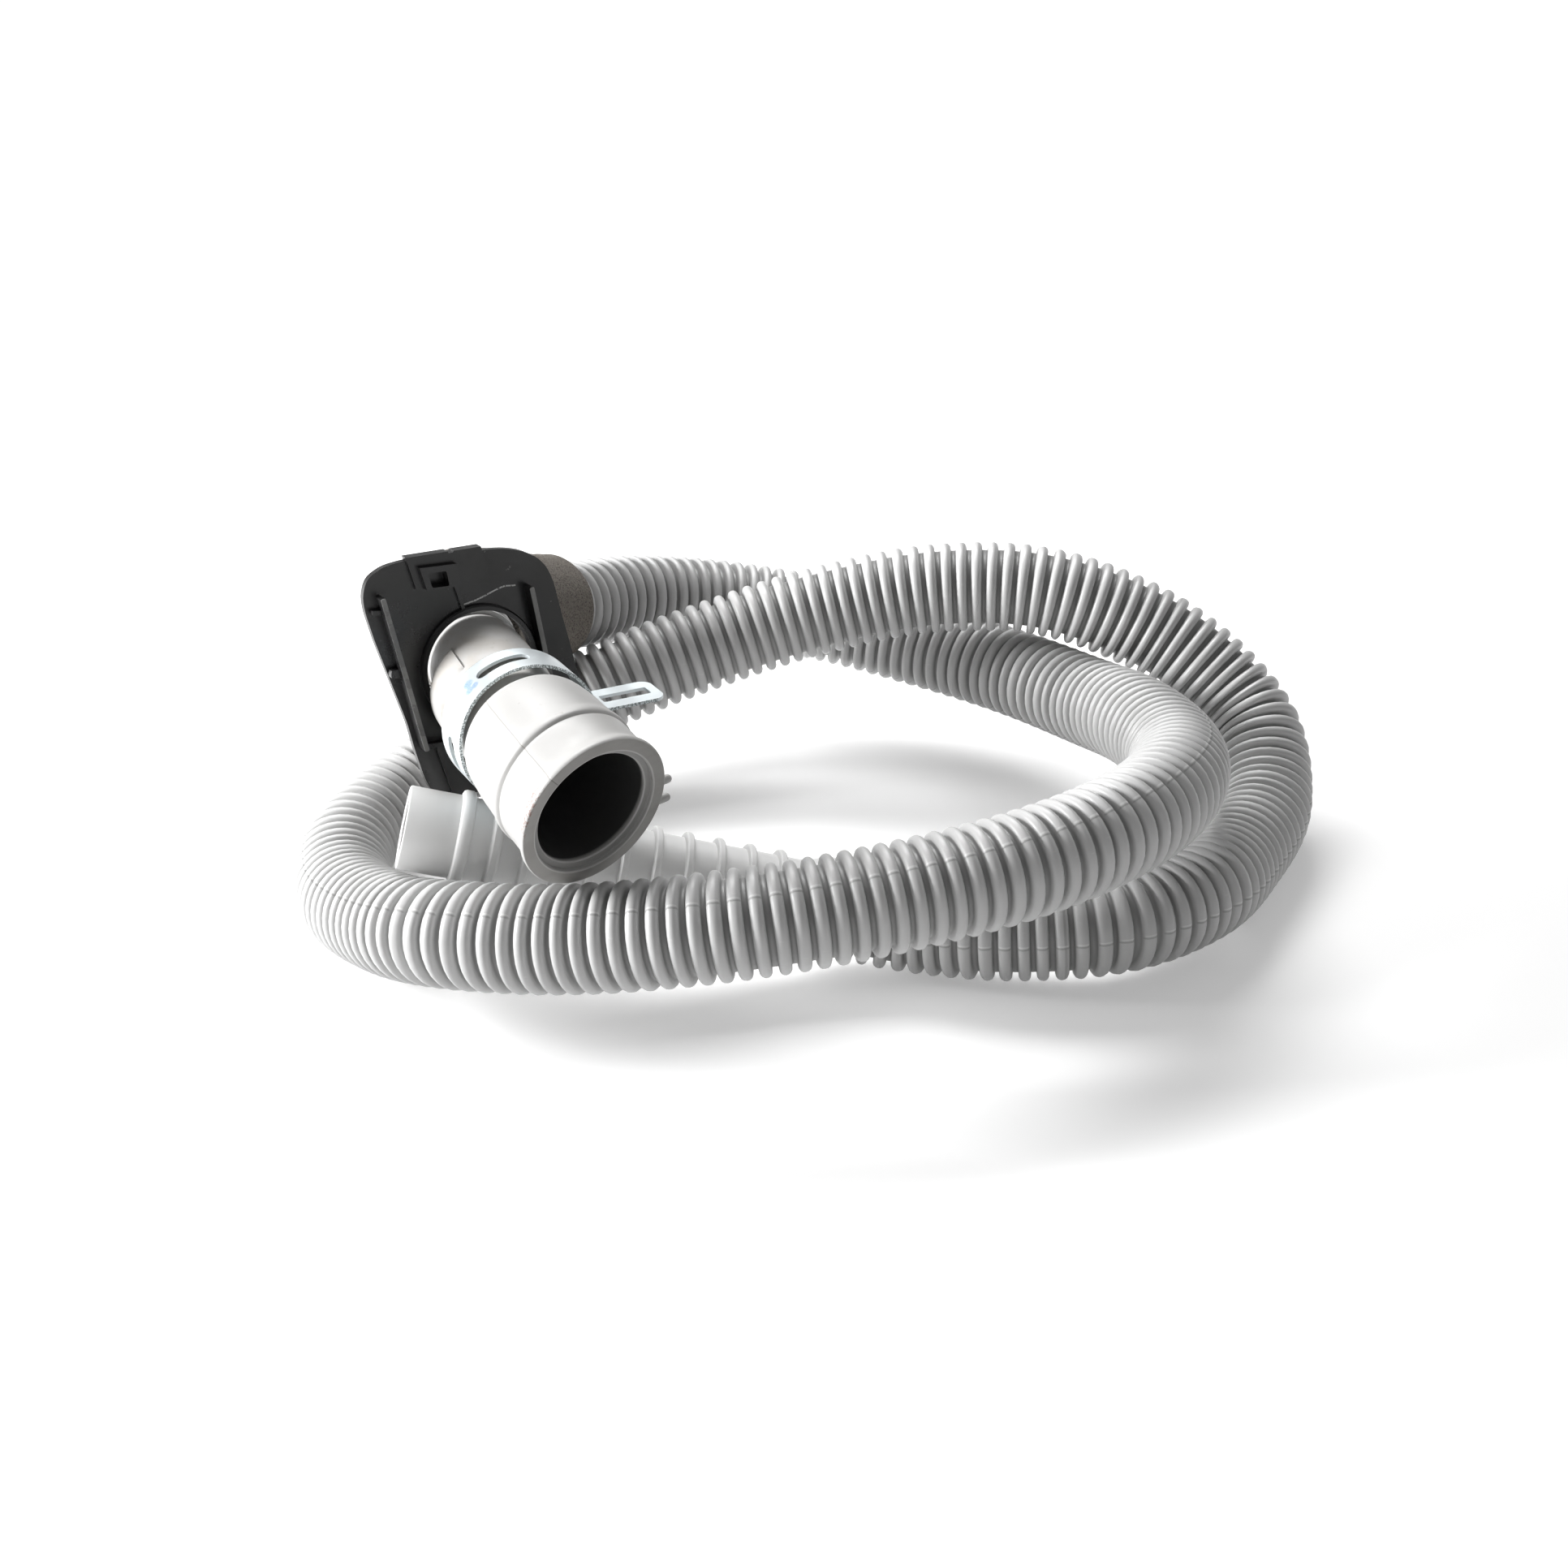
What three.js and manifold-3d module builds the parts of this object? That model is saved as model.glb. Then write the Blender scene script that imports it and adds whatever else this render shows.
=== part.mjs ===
// Drain hose of a washing machine, lying coiled, with its pump boot, loose band clamp,
// cover plate and foam sleeve. Millimetres, +Z up, floor at z = 0, +Y away from the viewer.
import * as THREE from 'three';
import { mergeVertices, toCreasedNormals } from 'three/addons/utils/BufferGeometryUtils.js';
import Module from 'manifold-3d';

const wasm = await Module();
wasm.setup();

// Hose
const hoseCrestRadius = 14;
const hoseBoreRadius = 9.6;
const hoseSides = 12;
const stepsPerSpan = 2;
const cutGap = 0.5;
const spigotRadius = 10.7;
const tubeRadius = 11.2;
const tubeRingRadius = 12.8;
const tubeRingWidth = 2.6;
const tubeRingPitch = 8.6;
const tubeRingCount = 11;
const cuffLength = 14;
const coneLength = 5;
const coneWideRadius = 13.4;

// Rubber boot
const mouthRadius = 21.2;
const flareLength = 6;
const barrelRadius = 19.8;
const mouthBoreRadius = 15.7;
const mouthStepRadius = 17.4;
const mouthStepDepth = 1.6;
const beadRadius = 20.3;
const beadPlace = 16.2;
const beadWidth = 3;
const bodyLength = 39;
const bodyBackRadius = 18;
const chamberWall = 5;
const chamberLength = bodyLength - chamberWall;
const neckRadius = 13.6;
const neckEndRadius = 12.3;
const neckLength = 43.2;
const neckStepPlace = 17;
const padRadius = 16.4;
const padBackRadius = 17.2;
const padBackPlace = 18.5;
const padLength = 31.5;
const padOffset = [1.2, -2.6];
const padEdges = [133, 250];
const spigotPlay = 0.3;
const nibRadius = 1.1;
const nibPlace = -6;
const nibFoot = 18.6;
const nibReach = 23.8;

// Band clamp
const bandRadius = 19.3;
const bandThickness = 0.8;
const bandWidth = 13.2;
const bandSlotWidth = 3.8;
const bandSlotArc = 39;
const bandSlotStarts = [83, 173, 263];
const tailLength = 38.5;
const tailHeight = 2.4;
const tailSlotWidth = 4.6;
const tailSlotEnd = tailLength - 2.9;
const tailSlotStart = tailSlotEnd - 13.1;

// Cover plate
const plateThickness = 2;
const plateHoleRadius = 15.2;
const collarWidth = 1.6;
const collarHeight = 1.6;
const ribThickness = 1.3;
const ribHeight = 4.2;

// Foam sleeve
const foamPlay = 0.35;
const foamRadius = 16.8;

// Places and headings. A heading is a turn to the right of the viewer and a lift above level.
const mouthCentre = new THREE.Vector3(-56.1, -102.7, 73.4);
const mouthHeading = { turn: 41, lift: -14 };
const bodyHeading = { turn: 31.7, lift: -9.9 };
const neckHeading = { turn: 25, lift: -6.5 };
const bandHeading = { turn: 27.3, lift: 1.5 };
const plateHeading = { turn: 30, lift: 5 };
const bandFromShoulder = new THREE.Vector3(-1.8, 7.9, -2.4);
const plateAlongNeck = 38;
const spigotAlongNeck = 4.2;
const hoseAlongNeck = 44;
const leadAlongNeck = 51;

// The hose's middle line between the back of the plate and the start of the cone.
const route = [
  [-102.3, 0, 85.5],
  [-97.8, 33.5, 74],
  [-83.8, 65.5, 60.5],
  [-63.3, 92, 53.5],
  [-35.3, 107.5, 46.5],
  [-0.8, 111, 39.5],
  [34.2, 100.5, 34],
  [63.7, 80, 32.5],
  [84.2, 51.5, 35],
  [95.7, 19, 42],
  [100.7, -16, 47.5],
  [93.7, -48.5, 53.5],
  [75.7, -76.5, 56],
  [49.2, -95.5, 55],
  [12.2, -107, 51],
  [-25.3, -111.5, 46.5],
  [-63.8, -105.5, 39.5],
  [-96.3, -92.5, 33.5],
  [-117.8, -66.5, 23],
  [-133.8, -35, 15],
  [-137.3, -2, 14],
  [-125.3, 31, 15.5],
  [-98.3, 48.5, 24.5],
  [-65.8, 60.5, 36.5],
  [-32.3, 70.5, 46.5],
  [2.7, 76, 56],
  [39.2, 76.5, 63],
  [75.2, 72.5, 62.5],
  [111.7, 64.5, 49],
  [135.2, 47.5, 29.5],
  [135.7, 20.5, 16.1],
  [120.2, -15, 14.4],
  [103.7, -43.5, 18],
  [79.7, -60.5, 19],
  [49.2, -61, 17],
  [23.2, -54.5, 16]
].map((p) => new THREE.Vector3(...p));
const coneStart = new THREE.Vector3(2.2, -53.5, 20);
const cuffMouth = new THREE.Vector3(-110.3, -65, 50.2);

// Outline of the cover plate, to the right and up from the middle of its hole.
const plateOutline = [
  [-17.5, 31.9], [5.8, 30.8], [10.4, 30.2], [15, 28.9], [19.3, 26.3], [21.9, 23.2], [23.5, 18.8],
  [25.1, 9.4], [26.8, 0.9], [28.8, -10.7], [31, -25], [30.8, -29.5], [28.6, -33], [24.6, -34.6],
  [-10.8, -36], [-14.8, -35], [-17.2, -32], [-18.5, -28.4], [-20.3, -20.4], [-21.7, -12],
  [-24.9, 0.1], [-28, 11.9], [-29.8, 20.6], [-29.9, 24.8], [-28.2, 29], [-23.6, 31.3]
];

const rad = THREE.MathUtils.degToRad;

function axisOf(heading) {
  const turn = rad(heading.turn);
  const lift = rad(heading.lift);
  return new THREE.Vector3(
    Math.cos(lift) * Math.sin(turn),
    -Math.cos(lift) * Math.cos(turn),
    Math.sin(lift)
  );
}

// Frame with z along the heading, x to the right and y up.
function frameAt(origin, heading) {
  const z = axisOf(heading);
  const x = new THREE.Vector3(0, 0, 1).cross(z).normalize();
  const y = new THREE.Vector3().crossVectors(z, x);
  return new THREE.Matrix4().makeBasis(x, y, z).setPosition(origin);
}

function behind(origin, heading, distance) {
  return origin.clone().addScaledVector(axisOf(heading), -distance);
}

const shoulder = behind(mouthCentre, bodyHeading, bodyLength);
const bandCentre = shoulder.clone().add(bandFromShoulder);
const spigotEnd = behind(shoulder, neckHeading, spigotAlongNeck);
const hoseStart = behind(shoulder, neckHeading, hoseAlongNeck);
const hoseLead = behind(shoulder, neckHeading, leadAlongNeck);
const plateCentre = behind(shoulder, neckHeading, plateAlongNeck);

// Closed, merged solid whose faces point outward.
function solid(geometry) {
  const bare = geometry.clone();
  bare.deleteAttribute('normal');
  bare.deleteAttribute('uv');
  const merged = mergeVertices(bare.index ? bare.toNonIndexed() : bare, 1e-4);
  const points = merged.attributes.position;
  const faces = Array.from(merged.index.array);
  const kept = [];
  let volume = 0;
  const a = new THREE.Vector3();
  const b = new THREE.Vector3();
  const c = new THREE.Vector3();
  for (let i = 0; i < faces.length; i += 3) {
    const [p, q, r] = [faces[i], faces[i + 1], faces[i + 2]];
    if (p === q || q === r || r === p) continue;
    kept.push(p, q, r);
    a.fromBufferAttribute(points, p);
    b.fromBufferAttribute(points, q);
    c.fromBufferAttribute(points, r);
    volume += a.dot(b.cross(c));
  }
  if (volume < 0) {
    for (let i = 0; i < kept.length; i += 3) {
      [kept[i + 1], kept[i + 2]] = [kept[i + 2], kept[i + 1]];
    }
  }
  return new wasm.Manifold(new wasm.Mesh({
    numProp: 3,
    vertProperties: new Float32Array(points.array),
    triVerts: new Uint32Array(kept)
  }));
}

function add(...solids) {
  return solids.reduce((sum, next) => sum.add(next));
}

function cut(base, ...tools) {
  return tools.reduce((left, tool) => left.subtract(tool), base);
}

function meshOf(name, result, look) {
  const mesh = result.getMesh();
  const geometry = new THREE.BufferGeometry();
  geometry.setAttribute('position', new THREE.BufferAttribute(new Float32Array(mesh.vertProperties), 3));
  geometry.setIndex(new THREE.BufferAttribute(new Uint32Array(mesh.triVerts), 1));
  const piece = new THREE.Mesh(toCreasedNormals(geometry, rad(30)), new THREE.MeshStandardMaterial(look));
  piece.name = name;
  return piece;
}

// Solid of revolution about z from a closed outline of [distance along z, radius]. Where slide is
// given, each point also moves along z by what it returns for that point.
function turned(outline, segments, matrix, slide) {
  const points = outline.map(([z, r]) => new THREE.Vector2(r, z));
  points.push(points[0].clone());
  const geometry = new THREE.LatheGeometry(points, segments);
  geometry.rotateX(Math.PI / 2);
  geometry.scale(1, -1, 1);
  const place = geometry.attributes.position;
  for (let i = 0; slide && i < place.count; i++) {
    place.setZ(i, place.getZ(i) + slide(place.getX(i), place.getY(i), place.getZ(i)));
  }
  geometry.applyMatrix4(matrix);
  return solid(geometry);
}

function rod(radius, from, to, segments, matrix) {
  const geometry = new THREE.CylinderGeometry(radius, radius, to - from, segments);
  geometry.rotateX(Math.PI / 2);
  geometry.translate(0, 0, (from + to) / 2);
  geometry.applyMatrix4(matrix);
  return solid(geometry);
}

function block(x0, x1, y0, y1, z0, z1, matrix) {
  const geometry = new THREE.BoxGeometry(x1 - x0, y1 - y0, z1 - z0);
  geometry.translate((x0 + x1) / 2, (y0 + y1) / 2, (z0 + z1) / 2);
  geometry.applyMatrix4(matrix);
  return solid(geometry);
}

// Straight bar in a plate plane between two points, standing from z0 to z1.
function bar(from, to, width, z0, z1, matrix) {
  const length = Math.hypot(to[0] - from[0], to[1] - from[1]);
  const place = new THREE.Matrix4()
    .makeRotationZ(Math.atan2(to[1] - from[1], to[0] - from[0]))
    .setPosition(from[0], from[1], 0);
  return block(0, length, -width / 2, width / 2, z0, z1, matrix.clone().multiply(place));
}

function slab(outline, z0, z1, matrix) {
  const shape = new THREE.Shape(outline.map(([x, y]) => new THREE.Vector2(x, y)));
  const geometry = new THREE.ExtrudeGeometry(shape, { depth: z1 - z0, bevelEnabled: false });
  geometry.translate(0, 0, z0);
  geometry.applyMatrix4(matrix);
  return solid(geometry);
}

// The middle line runs on past both ends of the corrugated stretch, so that it leaves them straight.
const towardMouth = cuffMouth.clone().sub(coneStart).normalize();
const coneLead = coneStart.clone().addScaledVector(towardMouth, -8);
const linePoints = [
  spigotEnd,
  hoseStart,
  hoseLead,
  ...route,
  coneLead,
  coneStart,
  coneStart.clone().addScaledVector(towardMouth, 30),
  cuffMouth
];
const wholeLine = new THREE.CatmullRomCurve3(linePoints, false, 'centripetal');
const lastSpan = linePoints.length - 1;
const foamSpan = [2.1, 5.05];

// The corrugated hose is cut into lengths, each a plain bend, counted in points of the middle line.
const hoseCuts = [1, 8, 16, 24, 32, lastSpan - 2];
const spanLength = 36;
const hoseSpans = hoseCuts.slice(1).map((end, i) => [
  hoseCuts[i] + (i === 0 ? 0 : cutGap / 2 / spanLength),
  end - cutGap / 2 / spanLength
]);
const hoseNames = ['hose_machine_end', 'hose_back_turn', 'hose_front_turn', 'hose_second_turn', 'hose_last_bend'];
const hoseSteps = hoseSpans.map(([start, end]) => Math.round((end - start) * stepsPerSpan));

class Stretch extends THREE.Curve {
  constructor(from, to) {
    super();
    this.from = from;
    this.to = to;
  }

  getPoint(t, target = new THREE.Vector3()) {
    return wholeLine.getPoint((this.from + (this.to - this.from) * t) / lastSpan, target);
  }
}

// The section swept along a stretch, run past both ends of it by overrun where it is a cutting tool.
function swept(radius, span, sides, steps, overrun = 0) {
  const corners = [];
  for (let i = 0; i < sides; i++) {
    const angle = (i / sides) * Math.PI * 2;
    corners.push(new THREE.Vector2(radius * Math.cos(angle), radius * Math.sin(angle)));
  }
  const geometry = new THREE.ExtrudeGeometry(new THREE.Shape(corners), {
    steps,
    bevelEnabled: false,
    extrudePath: new Stretch(span[0] - overrun, span[1] + overrun)
  });
  return solid(geometry);
}

// Frame with its origin on one point and z toward another.
function frameToward(from, to) {
  const z = to.clone().sub(from).normalize();
  const x = new THREE.Vector3(0, 0, 1).cross(z).normalize();
  const y = new THREE.Vector3().crossVectors(z, x);
  return new THREE.Matrix4().makeBasis(x, y, z).setPosition(from);
}

function hoseLength(i) {
  const outer = swept(hoseCrestRadius, hoseSpans[i], hoseSides, hoseSteps[i]);
  if (i > 0) return cut(outer, swept(hoseBoreRadius, hoseSpans[i], hoseSides, hoseSteps[i], 0.01));
  const spigotFrame = frameAt(spigotEnd, neckHeading);
  const spigotLength = hoseAlongNeck - spigotAlongNeck;
  const spigot = rod(spigotRadius, -spigotLength - 1, 0, 28, spigotFrame);
  const spigotBore = rod(hoseBoreRadius, -spigotLength - 1.5, 1, 20, spigotFrame);
  return cut(add(outer, spigot), spigotBore, swept(hoseBoreRadius, hoseSpans[i], hoseSides, hoseSteps[i], 0.01));
}

function buildDischargeEnd() {
  const frame = frameToward(cuffMouth, coneStart);
  const length = cuffMouth.distanceTo(coneStart) - cutGap;
  const outline = [[0, 0], [0, tubeRadius - 0.4], [0.4, tubeRadius]];
  for (let i = 0; i < tubeRingCount; i++) {
    const start = cuffLength + i * tubeRingPitch;
    outline.push([start, tubeRadius], [start + 0.3, tubeRingRadius]);
    outline.push([start + tubeRingWidth - 0.3, tubeRingRadius], [start + tubeRingWidth, tubeRadius]);
  }
  outline.push([length - coneLength, tubeRadius], [length - 1, coneWideRadius]);
  outline.push([length, coneWideRadius], [length, 0]);
  return cut(turned(outline, 28, frame), rod(hoseBoreRadius, -1, length + 1, 20, frame));
}

// The mouth faces aside of the body, so the body leans over evenly from the shoulder to the mouth.
function mouthSlide() {
  const [x, y, z] = [new THREE.Vector3(), new THREE.Vector3(), new THREE.Vector3()];
  frameAt(mouthCentre, bodyHeading).extractBasis(x, y, z);
  const face = axisOf(mouthHeading);
  return (px, py, pz) => {
    const share = Math.min(1, Math.max(0, 1 + pz / bodyLength));
    return -share * (px * face.dot(x) + py * face.dot(y)) / face.dot(z);
  };
}

function buildBoot() {
  const bodyFrame = frameAt(mouthCentre, bodyHeading);
  const slide = mouthSlide();
  const neckFrame = frameAt(shoulder, neckHeading);
  const beadStart = beadPlace - beadWidth / 2;
  const beadEnd = beadPlace + beadWidth / 2;
  const body = turned([
    [0, 0], [0, mouthRadius - 0.4], [-0.4, mouthRadius], [-1.4, mouthRadius], [-3, mouthRadius - 0.8],
    [-flareLength, barrelRadius + 0.1], [-beadStart, barrelRadius], [-beadStart - 0.8, beadRadius],
    [-beadEnd + 0.8, beadRadius], [-beadEnd, barrelRadius - 0.2],
    [-bodyLength + 3, bodyBackRadius], [-bodyLength + 0.9, bodyBackRadius - 1.1],
    [-bodyLength, bodyBackRadius - 2.3], [-bodyLength, 0]
  ], 48, bodyFrame, slide);
  const neck = turned([
    [3, 0], [3, neckRadius], [-neckStepPlace, neckRadius], [-neckStepPlace - 1, neckRadius + 0.4],
    [-24, neckRadius + 0.4], [-32, neckRadius + 0.2], [-35, neckRadius], [-40, neckRadius - 0.4],
    [-42, neckEndRadius + 0.3], [-neckLength, neckEndRadius], [-neckLength, 0]
  ], 40, neckFrame);
  const chamber = turned([
    [1, 0], [1, mouthStepRadius], [-mouthStepDepth, mouthStepRadius], [-mouthStepDepth - 0.5, mouthBoreRadius],
    [-chamberLength, mouthBoreRadius - 1], [-chamberLength - 1, spigotRadius], [-chamberLength - 1, 0]
  ], 40, bodyFrame, slide);
  const throat = rod(spigotRadius + spigotPlay, -neckLength - 1, 6, 28, neckFrame);
  const padFrame = neckFrame.clone().multiply(new THREE.Matrix4().makeTranslation(...padOffset, 0));
  const padWhole = turned([
    [4, 0], [4, padRadius], [-padBackPlace, padRadius], [-padBackPlace - 1.5, padBackRadius],
    [-padLength + 2.5, padBackRadius], [-padLength, padBackRadius - 2.2], [-padLength, 0]
  ], 40, padFrame);
  const [lowFrame, highFrame] = padEdges.map((edge) => (
    neckFrame.clone().multiply(new THREE.Matrix4().makeRotationZ(rad(edge)))
  ));
  const pad = cut(padWhole, block(-40, 40, -60, 0, -50, 10, lowFrame), block(-40, 40, 0, 60, -50, 10, highFrame));
  const nibs = [[-0.8, -0.2], [-6.4, -5.8]].map(([low, high]) => {
    const foot = new THREE.Vector3(nibFoot, low, nibPlace);
    const tip = new THREE.Vector3(nibReach, high, nibPlace);
    const geometry = new THREE.CapsuleGeometry(nibRadius, foot.distanceTo(tip), 4, 10);
    geometry.rotateZ(Math.atan2(tip.y - foot.y, tip.x - foot.x) - Math.PI / 2);
    geometry.translate((foot.x + tip.x) / 2, (foot.y + tip.y) / 2, nibPlace);
    geometry.applyMatrix4(bodyFrame);
    return solid(geometry);
  });
  return cut(add(body, neck, pad, ...nibs), chamber, throat);
}

function buildClamp() {
  const frame = frameAt(bandCentre, bandHeading);
  const half = bandWidth / 2;
  const inner = bandRadius - bandThickness;
  const ring = turned([[-half, inner], [-half, bandRadius], [half, bandRadius], [half, inner]], 60, frame);
  const slots = bandSlotStarts.map((start) => {
    const shape = new THREE.Shape();
    const reach = bandRadius + 3;
    shape.moveTo(0, 0);
    for (let i = 0; i <= 6; i++) {
      const angle = rad(start + (bandSlotArc * i) / 6);
      shape.lineTo(reach * Math.cos(angle), reach * Math.sin(angle));
    }
    const geometry = new THREE.ExtrudeGeometry(shape, { depth: bandSlotWidth, bevelEnabled: false });
    geometry.translate(0, 0, -bandSlotWidth / 2);
    geometry.applyMatrix4(frame);
    return solid(geometry);
  });
  const corner = 3;
  const tailShape = new THREE.Shape();
  tailShape.moveTo(bandRadius - 0.7, -half);
  tailShape.lineTo(tailLength - corner, -half);
  tailShape.quadraticCurveTo(tailLength, -half, tailLength, -half + corner);
  tailShape.lineTo(tailLength, half - corner);
  tailShape.quadraticCurveTo(tailLength, half, tailLength - corner, half);
  tailShape.lineTo(bandRadius - 0.7, half);
  const tailGeometry = new THREE.ExtrudeGeometry(tailShape, { depth: bandThickness, bevelEnabled: false, curveSegments: 5 });
  tailGeometry.rotateX(-Math.PI / 2);
  tailGeometry.translate(0, tailHeight, 0);
  tailGeometry.applyMatrix4(frame);
  const tailSlot = block(
    tailSlotStart, tailSlotEnd, tailHeight - 1, tailHeight + bandThickness + 1,
    -tailSlotWidth / 2, tailSlotWidth / 2, frame
  );
  return add(cut(ring, ...slots), cut(solid(tailGeometry), tailSlot));
}

function buildPlate() {
  const frame = frameAt(plateCentre, plateHeading);
  const front = plateThickness / 2;
  const base = slab(plateOutline, -front, front, frame);
  const collar = rod(plateHoleRadius + collarWidth, -front, front + collarHeight, 48, frame);
  const hole = rod(plateHoleRadius, -6, 12, 48, frame);
  const pad = slab([[-17.6, 32.9], [3.3, 32.3], [4.9, 23.4], [-15.7, 24]], -front, front + 1.2, frame);
  const box = slab([[-14.8, 30], [-4.5, 29.4], [-3.6, 23.2], [-13.4, 23.8]], 0, front + 3, frame);
  const pocket = slab([[-12.7, 28.3], [-7.6, 28], [-7.1, 23.9], [-11.9, 24.2]], 0.2, 12, frame);
  const ribs = [
    bar([-25.9, 24.1], [-22.3, 3.4], ribThickness, 0, front + ribHeight, frame),
    bar([-22.4, 3.9], [-18.4, -19.4], ribThickness, 0, front + ribHeight, frame),
    bar([-18.8, -18.8], [18.6, -20.6], ribThickness, 0, front + 2.4, frame),
    bar([15.4, 19.5], [17.8, 0.4], ribThickness, 0, front + ribHeight, frame),
    bar([17.8, 0.9], [20.6, -20.6], ribThickness, 0, front + ribHeight, frame),
    bar([-28.4, 20.2], [-24.9, 19.7], ribThickness, 0, front + 2, frame),
    bar([-4.8, 23.6], [-2.6, 14], ribThickness, 0, front + 1.2, frame),
    bar([-14.2, -20], [-11, -34], ribThickness, 0, front + 1.2, frame)
  ];
  return cut(add(base, collar, pad, box, ...ribs), hole, pocket);
}

function buildFoam() {
  const hollows = [0, 3].map((i) => swept(hoseCrestRadius + foamPlay, hoseSpans[i], hoseSides, hoseSteps[i]));
  return cut(swept(foamRadius, foamSpan, 20, 16), ...hollows);
}

const hoseLook = { color: 0x9b9c9d, roughness: 0.42, metalness: 0 };
const part = new THREE.Group();
part.name = 'drain_hose_assembly';
part.add(
  ...hoseNames.map((name, i) => meshOf(name, hoseLength(i), hoseLook)),
  meshOf('discharge_end', buildDischargeEnd(), hoseLook),
  meshOf('pump_boot', buildBoot(), { color: 0xd3d1cd, roughness: 0.55, metalness: 0 }),
  meshOf('band_clamp', buildClamp(), { color: 0xc4cccf, roughness: 0.35, metalness: 0.9 }),
  meshOf('cover_plate', buildPlate(), { color: 0x1b1b1c, roughness: 0.3, metalness: 0 }),
  meshOf('foam_sleeve', buildFoam(), { color: 0x5f5850, roughness: 0.95, metalness: 0 })
);

export default part;
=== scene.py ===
import math
import bpy
import bmesh
from mathutils import Matrix, Vector


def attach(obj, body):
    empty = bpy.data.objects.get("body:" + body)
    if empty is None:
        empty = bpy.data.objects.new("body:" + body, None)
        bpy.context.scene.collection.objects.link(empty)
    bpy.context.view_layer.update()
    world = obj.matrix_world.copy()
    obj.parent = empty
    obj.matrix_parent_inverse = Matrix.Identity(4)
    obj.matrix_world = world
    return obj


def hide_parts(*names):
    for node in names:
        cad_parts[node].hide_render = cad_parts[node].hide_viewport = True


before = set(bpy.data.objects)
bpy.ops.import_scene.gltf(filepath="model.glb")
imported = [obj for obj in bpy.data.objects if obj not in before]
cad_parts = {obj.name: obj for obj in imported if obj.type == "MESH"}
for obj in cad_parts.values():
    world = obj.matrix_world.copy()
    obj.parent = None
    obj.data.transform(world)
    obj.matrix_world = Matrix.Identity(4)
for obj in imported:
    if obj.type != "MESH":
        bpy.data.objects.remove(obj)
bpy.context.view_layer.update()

print("frame loaded:", sorted(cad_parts))

mm = 0.001
weldGap = 1e-7  # in metres; points nearer than this are one point


def heading(turn, lift):  # turn to the viewer's right, lift above level, in degrees
    t, l = math.radians(turn), math.radians(lift)
    return Vector((math.cos(l) * math.sin(t), -math.cos(l) * math.cos(t), math.sin(l)))


def frameAlong(origin, axis):  # z along the axis, x to the right, y up
    z = axis.normalized()
    x = Vector((0, 0, 1)).cross(z)
    x = x.normalized() if x.length > 1e-6 else Vector((1, 0, 0))
    m = Matrix((x, z.cross(x), z)).transposed().to_4x4()
    m.translation = origin
    return m


def axesOf(place):  # the three directions of a frame
    return [place.col[n].to_3d() for n in range(3)]


def newPiece(name, mesh):
    piece = bpy.data.objects.new(name, mesh)
    bpy.context.scene.collection.objects.link(piece)
    return piece


def meshFrom(name, points, faces, place=None):  # points in mm, in the place's own frame
    mesh = bpy.data.meshes.new(name)
    place = place or Matrix()
    mesh.from_pydata([(place @ Vector(p)) * mm for p in points], [], faces)
    bm = bmesh.new()
    bm.from_mesh(mesh)
    bmesh.ops.remove_doubles(bm, verts=bm.verts, dist=weldGap)
    bmesh.ops.recalc_face_normals(bm, faces=bm.faces)
    bm.to_mesh(mesh)
    bm.free()
    return mesh


def turnedPoints(outline, sides):  # outline of (z, r) turned about z; r = 0 closes on the axis
    points, faces, rows = [], [], []
    for z, r in outline:
        if r == 0:
            rows.append([len(points)] * sides)
            points.append((0, 0, z))
        else:
            rows.append([len(points) + i for i in range(sides)])
            turns = [math.tau * i / sides for i in range(sides)]
            points += [(r * math.cos(a), r * math.sin(a), z) for a in turns]
    closed = outline[0][1] > 0 and outline[-1][1] > 0
    for k in range(len(rows) if closed else len(rows) - 1):
        a, b = rows[k], rows[(k + 1) % len(rows)]
        for i in range(sides):
            j = (i + 1) % sides
            ring = [a[i], a[j], b[j], b[i]]
            face = [v for n, v in enumerate(ring) if v not in ring[:n]]
            if len(face) > 2:
                faces.append(face)
    return points, faces


def slabPoints(outline, low, high):  # flat outline between two heights
    n = len(outline)
    points = [(x, y, low) for x, y in outline] + [(x, y, high) for x, y in outline]
    faces = [list(range(n))[::-1], list(range(n, 2 * n))]
    faces += [[i, (i + 1) % n, (i + 1) % n + n, i + n] for i in range(n)]
    return points, faces


def roundCorners(outline, radius, steps=4):  # a corner takes at most 0.45 of its edges
    out = []
    n = len(outline)
    for i in range(n):
        p, q, r = (Vector(outline[k % n]) for k in (i - 1, i, i + 1))
        a, b = (p - q), (r - q)
        cut = min(radius, a.length * 0.45, b.length * 0.45)
        start, end = q + a.normalized() * cut, q + b.normalized() * cut
        for s in range(steps + 1):
            t = s / steps
            out.append(tuple(start * (1 - t) ** 2 + q * 2 * t * (1 - t) + end * t ** 2))
    return out


def solid(shape, place=None, name="blank"):
    return newPiece(name, meshFrom(name, shape[0], shape[1], place))


def combine(base, tools, operation):
    for tool in tools:
        mod = base.modifiers.new("join", "BOOLEAN")
        mod.operation = operation
        mod.solver = "EXACT"
        mod.object = tool
    bpy.context.view_layer.update()
    mesh = bpy.data.meshes.new_from_object(base.evaluated_get(bpy.context.evaluated_depsgraph_get()))
    base.modifiers.clear()
    base.data = mesh
    for tool in tools:
        bpy.data.objects.remove(tool)
    return base


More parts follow.
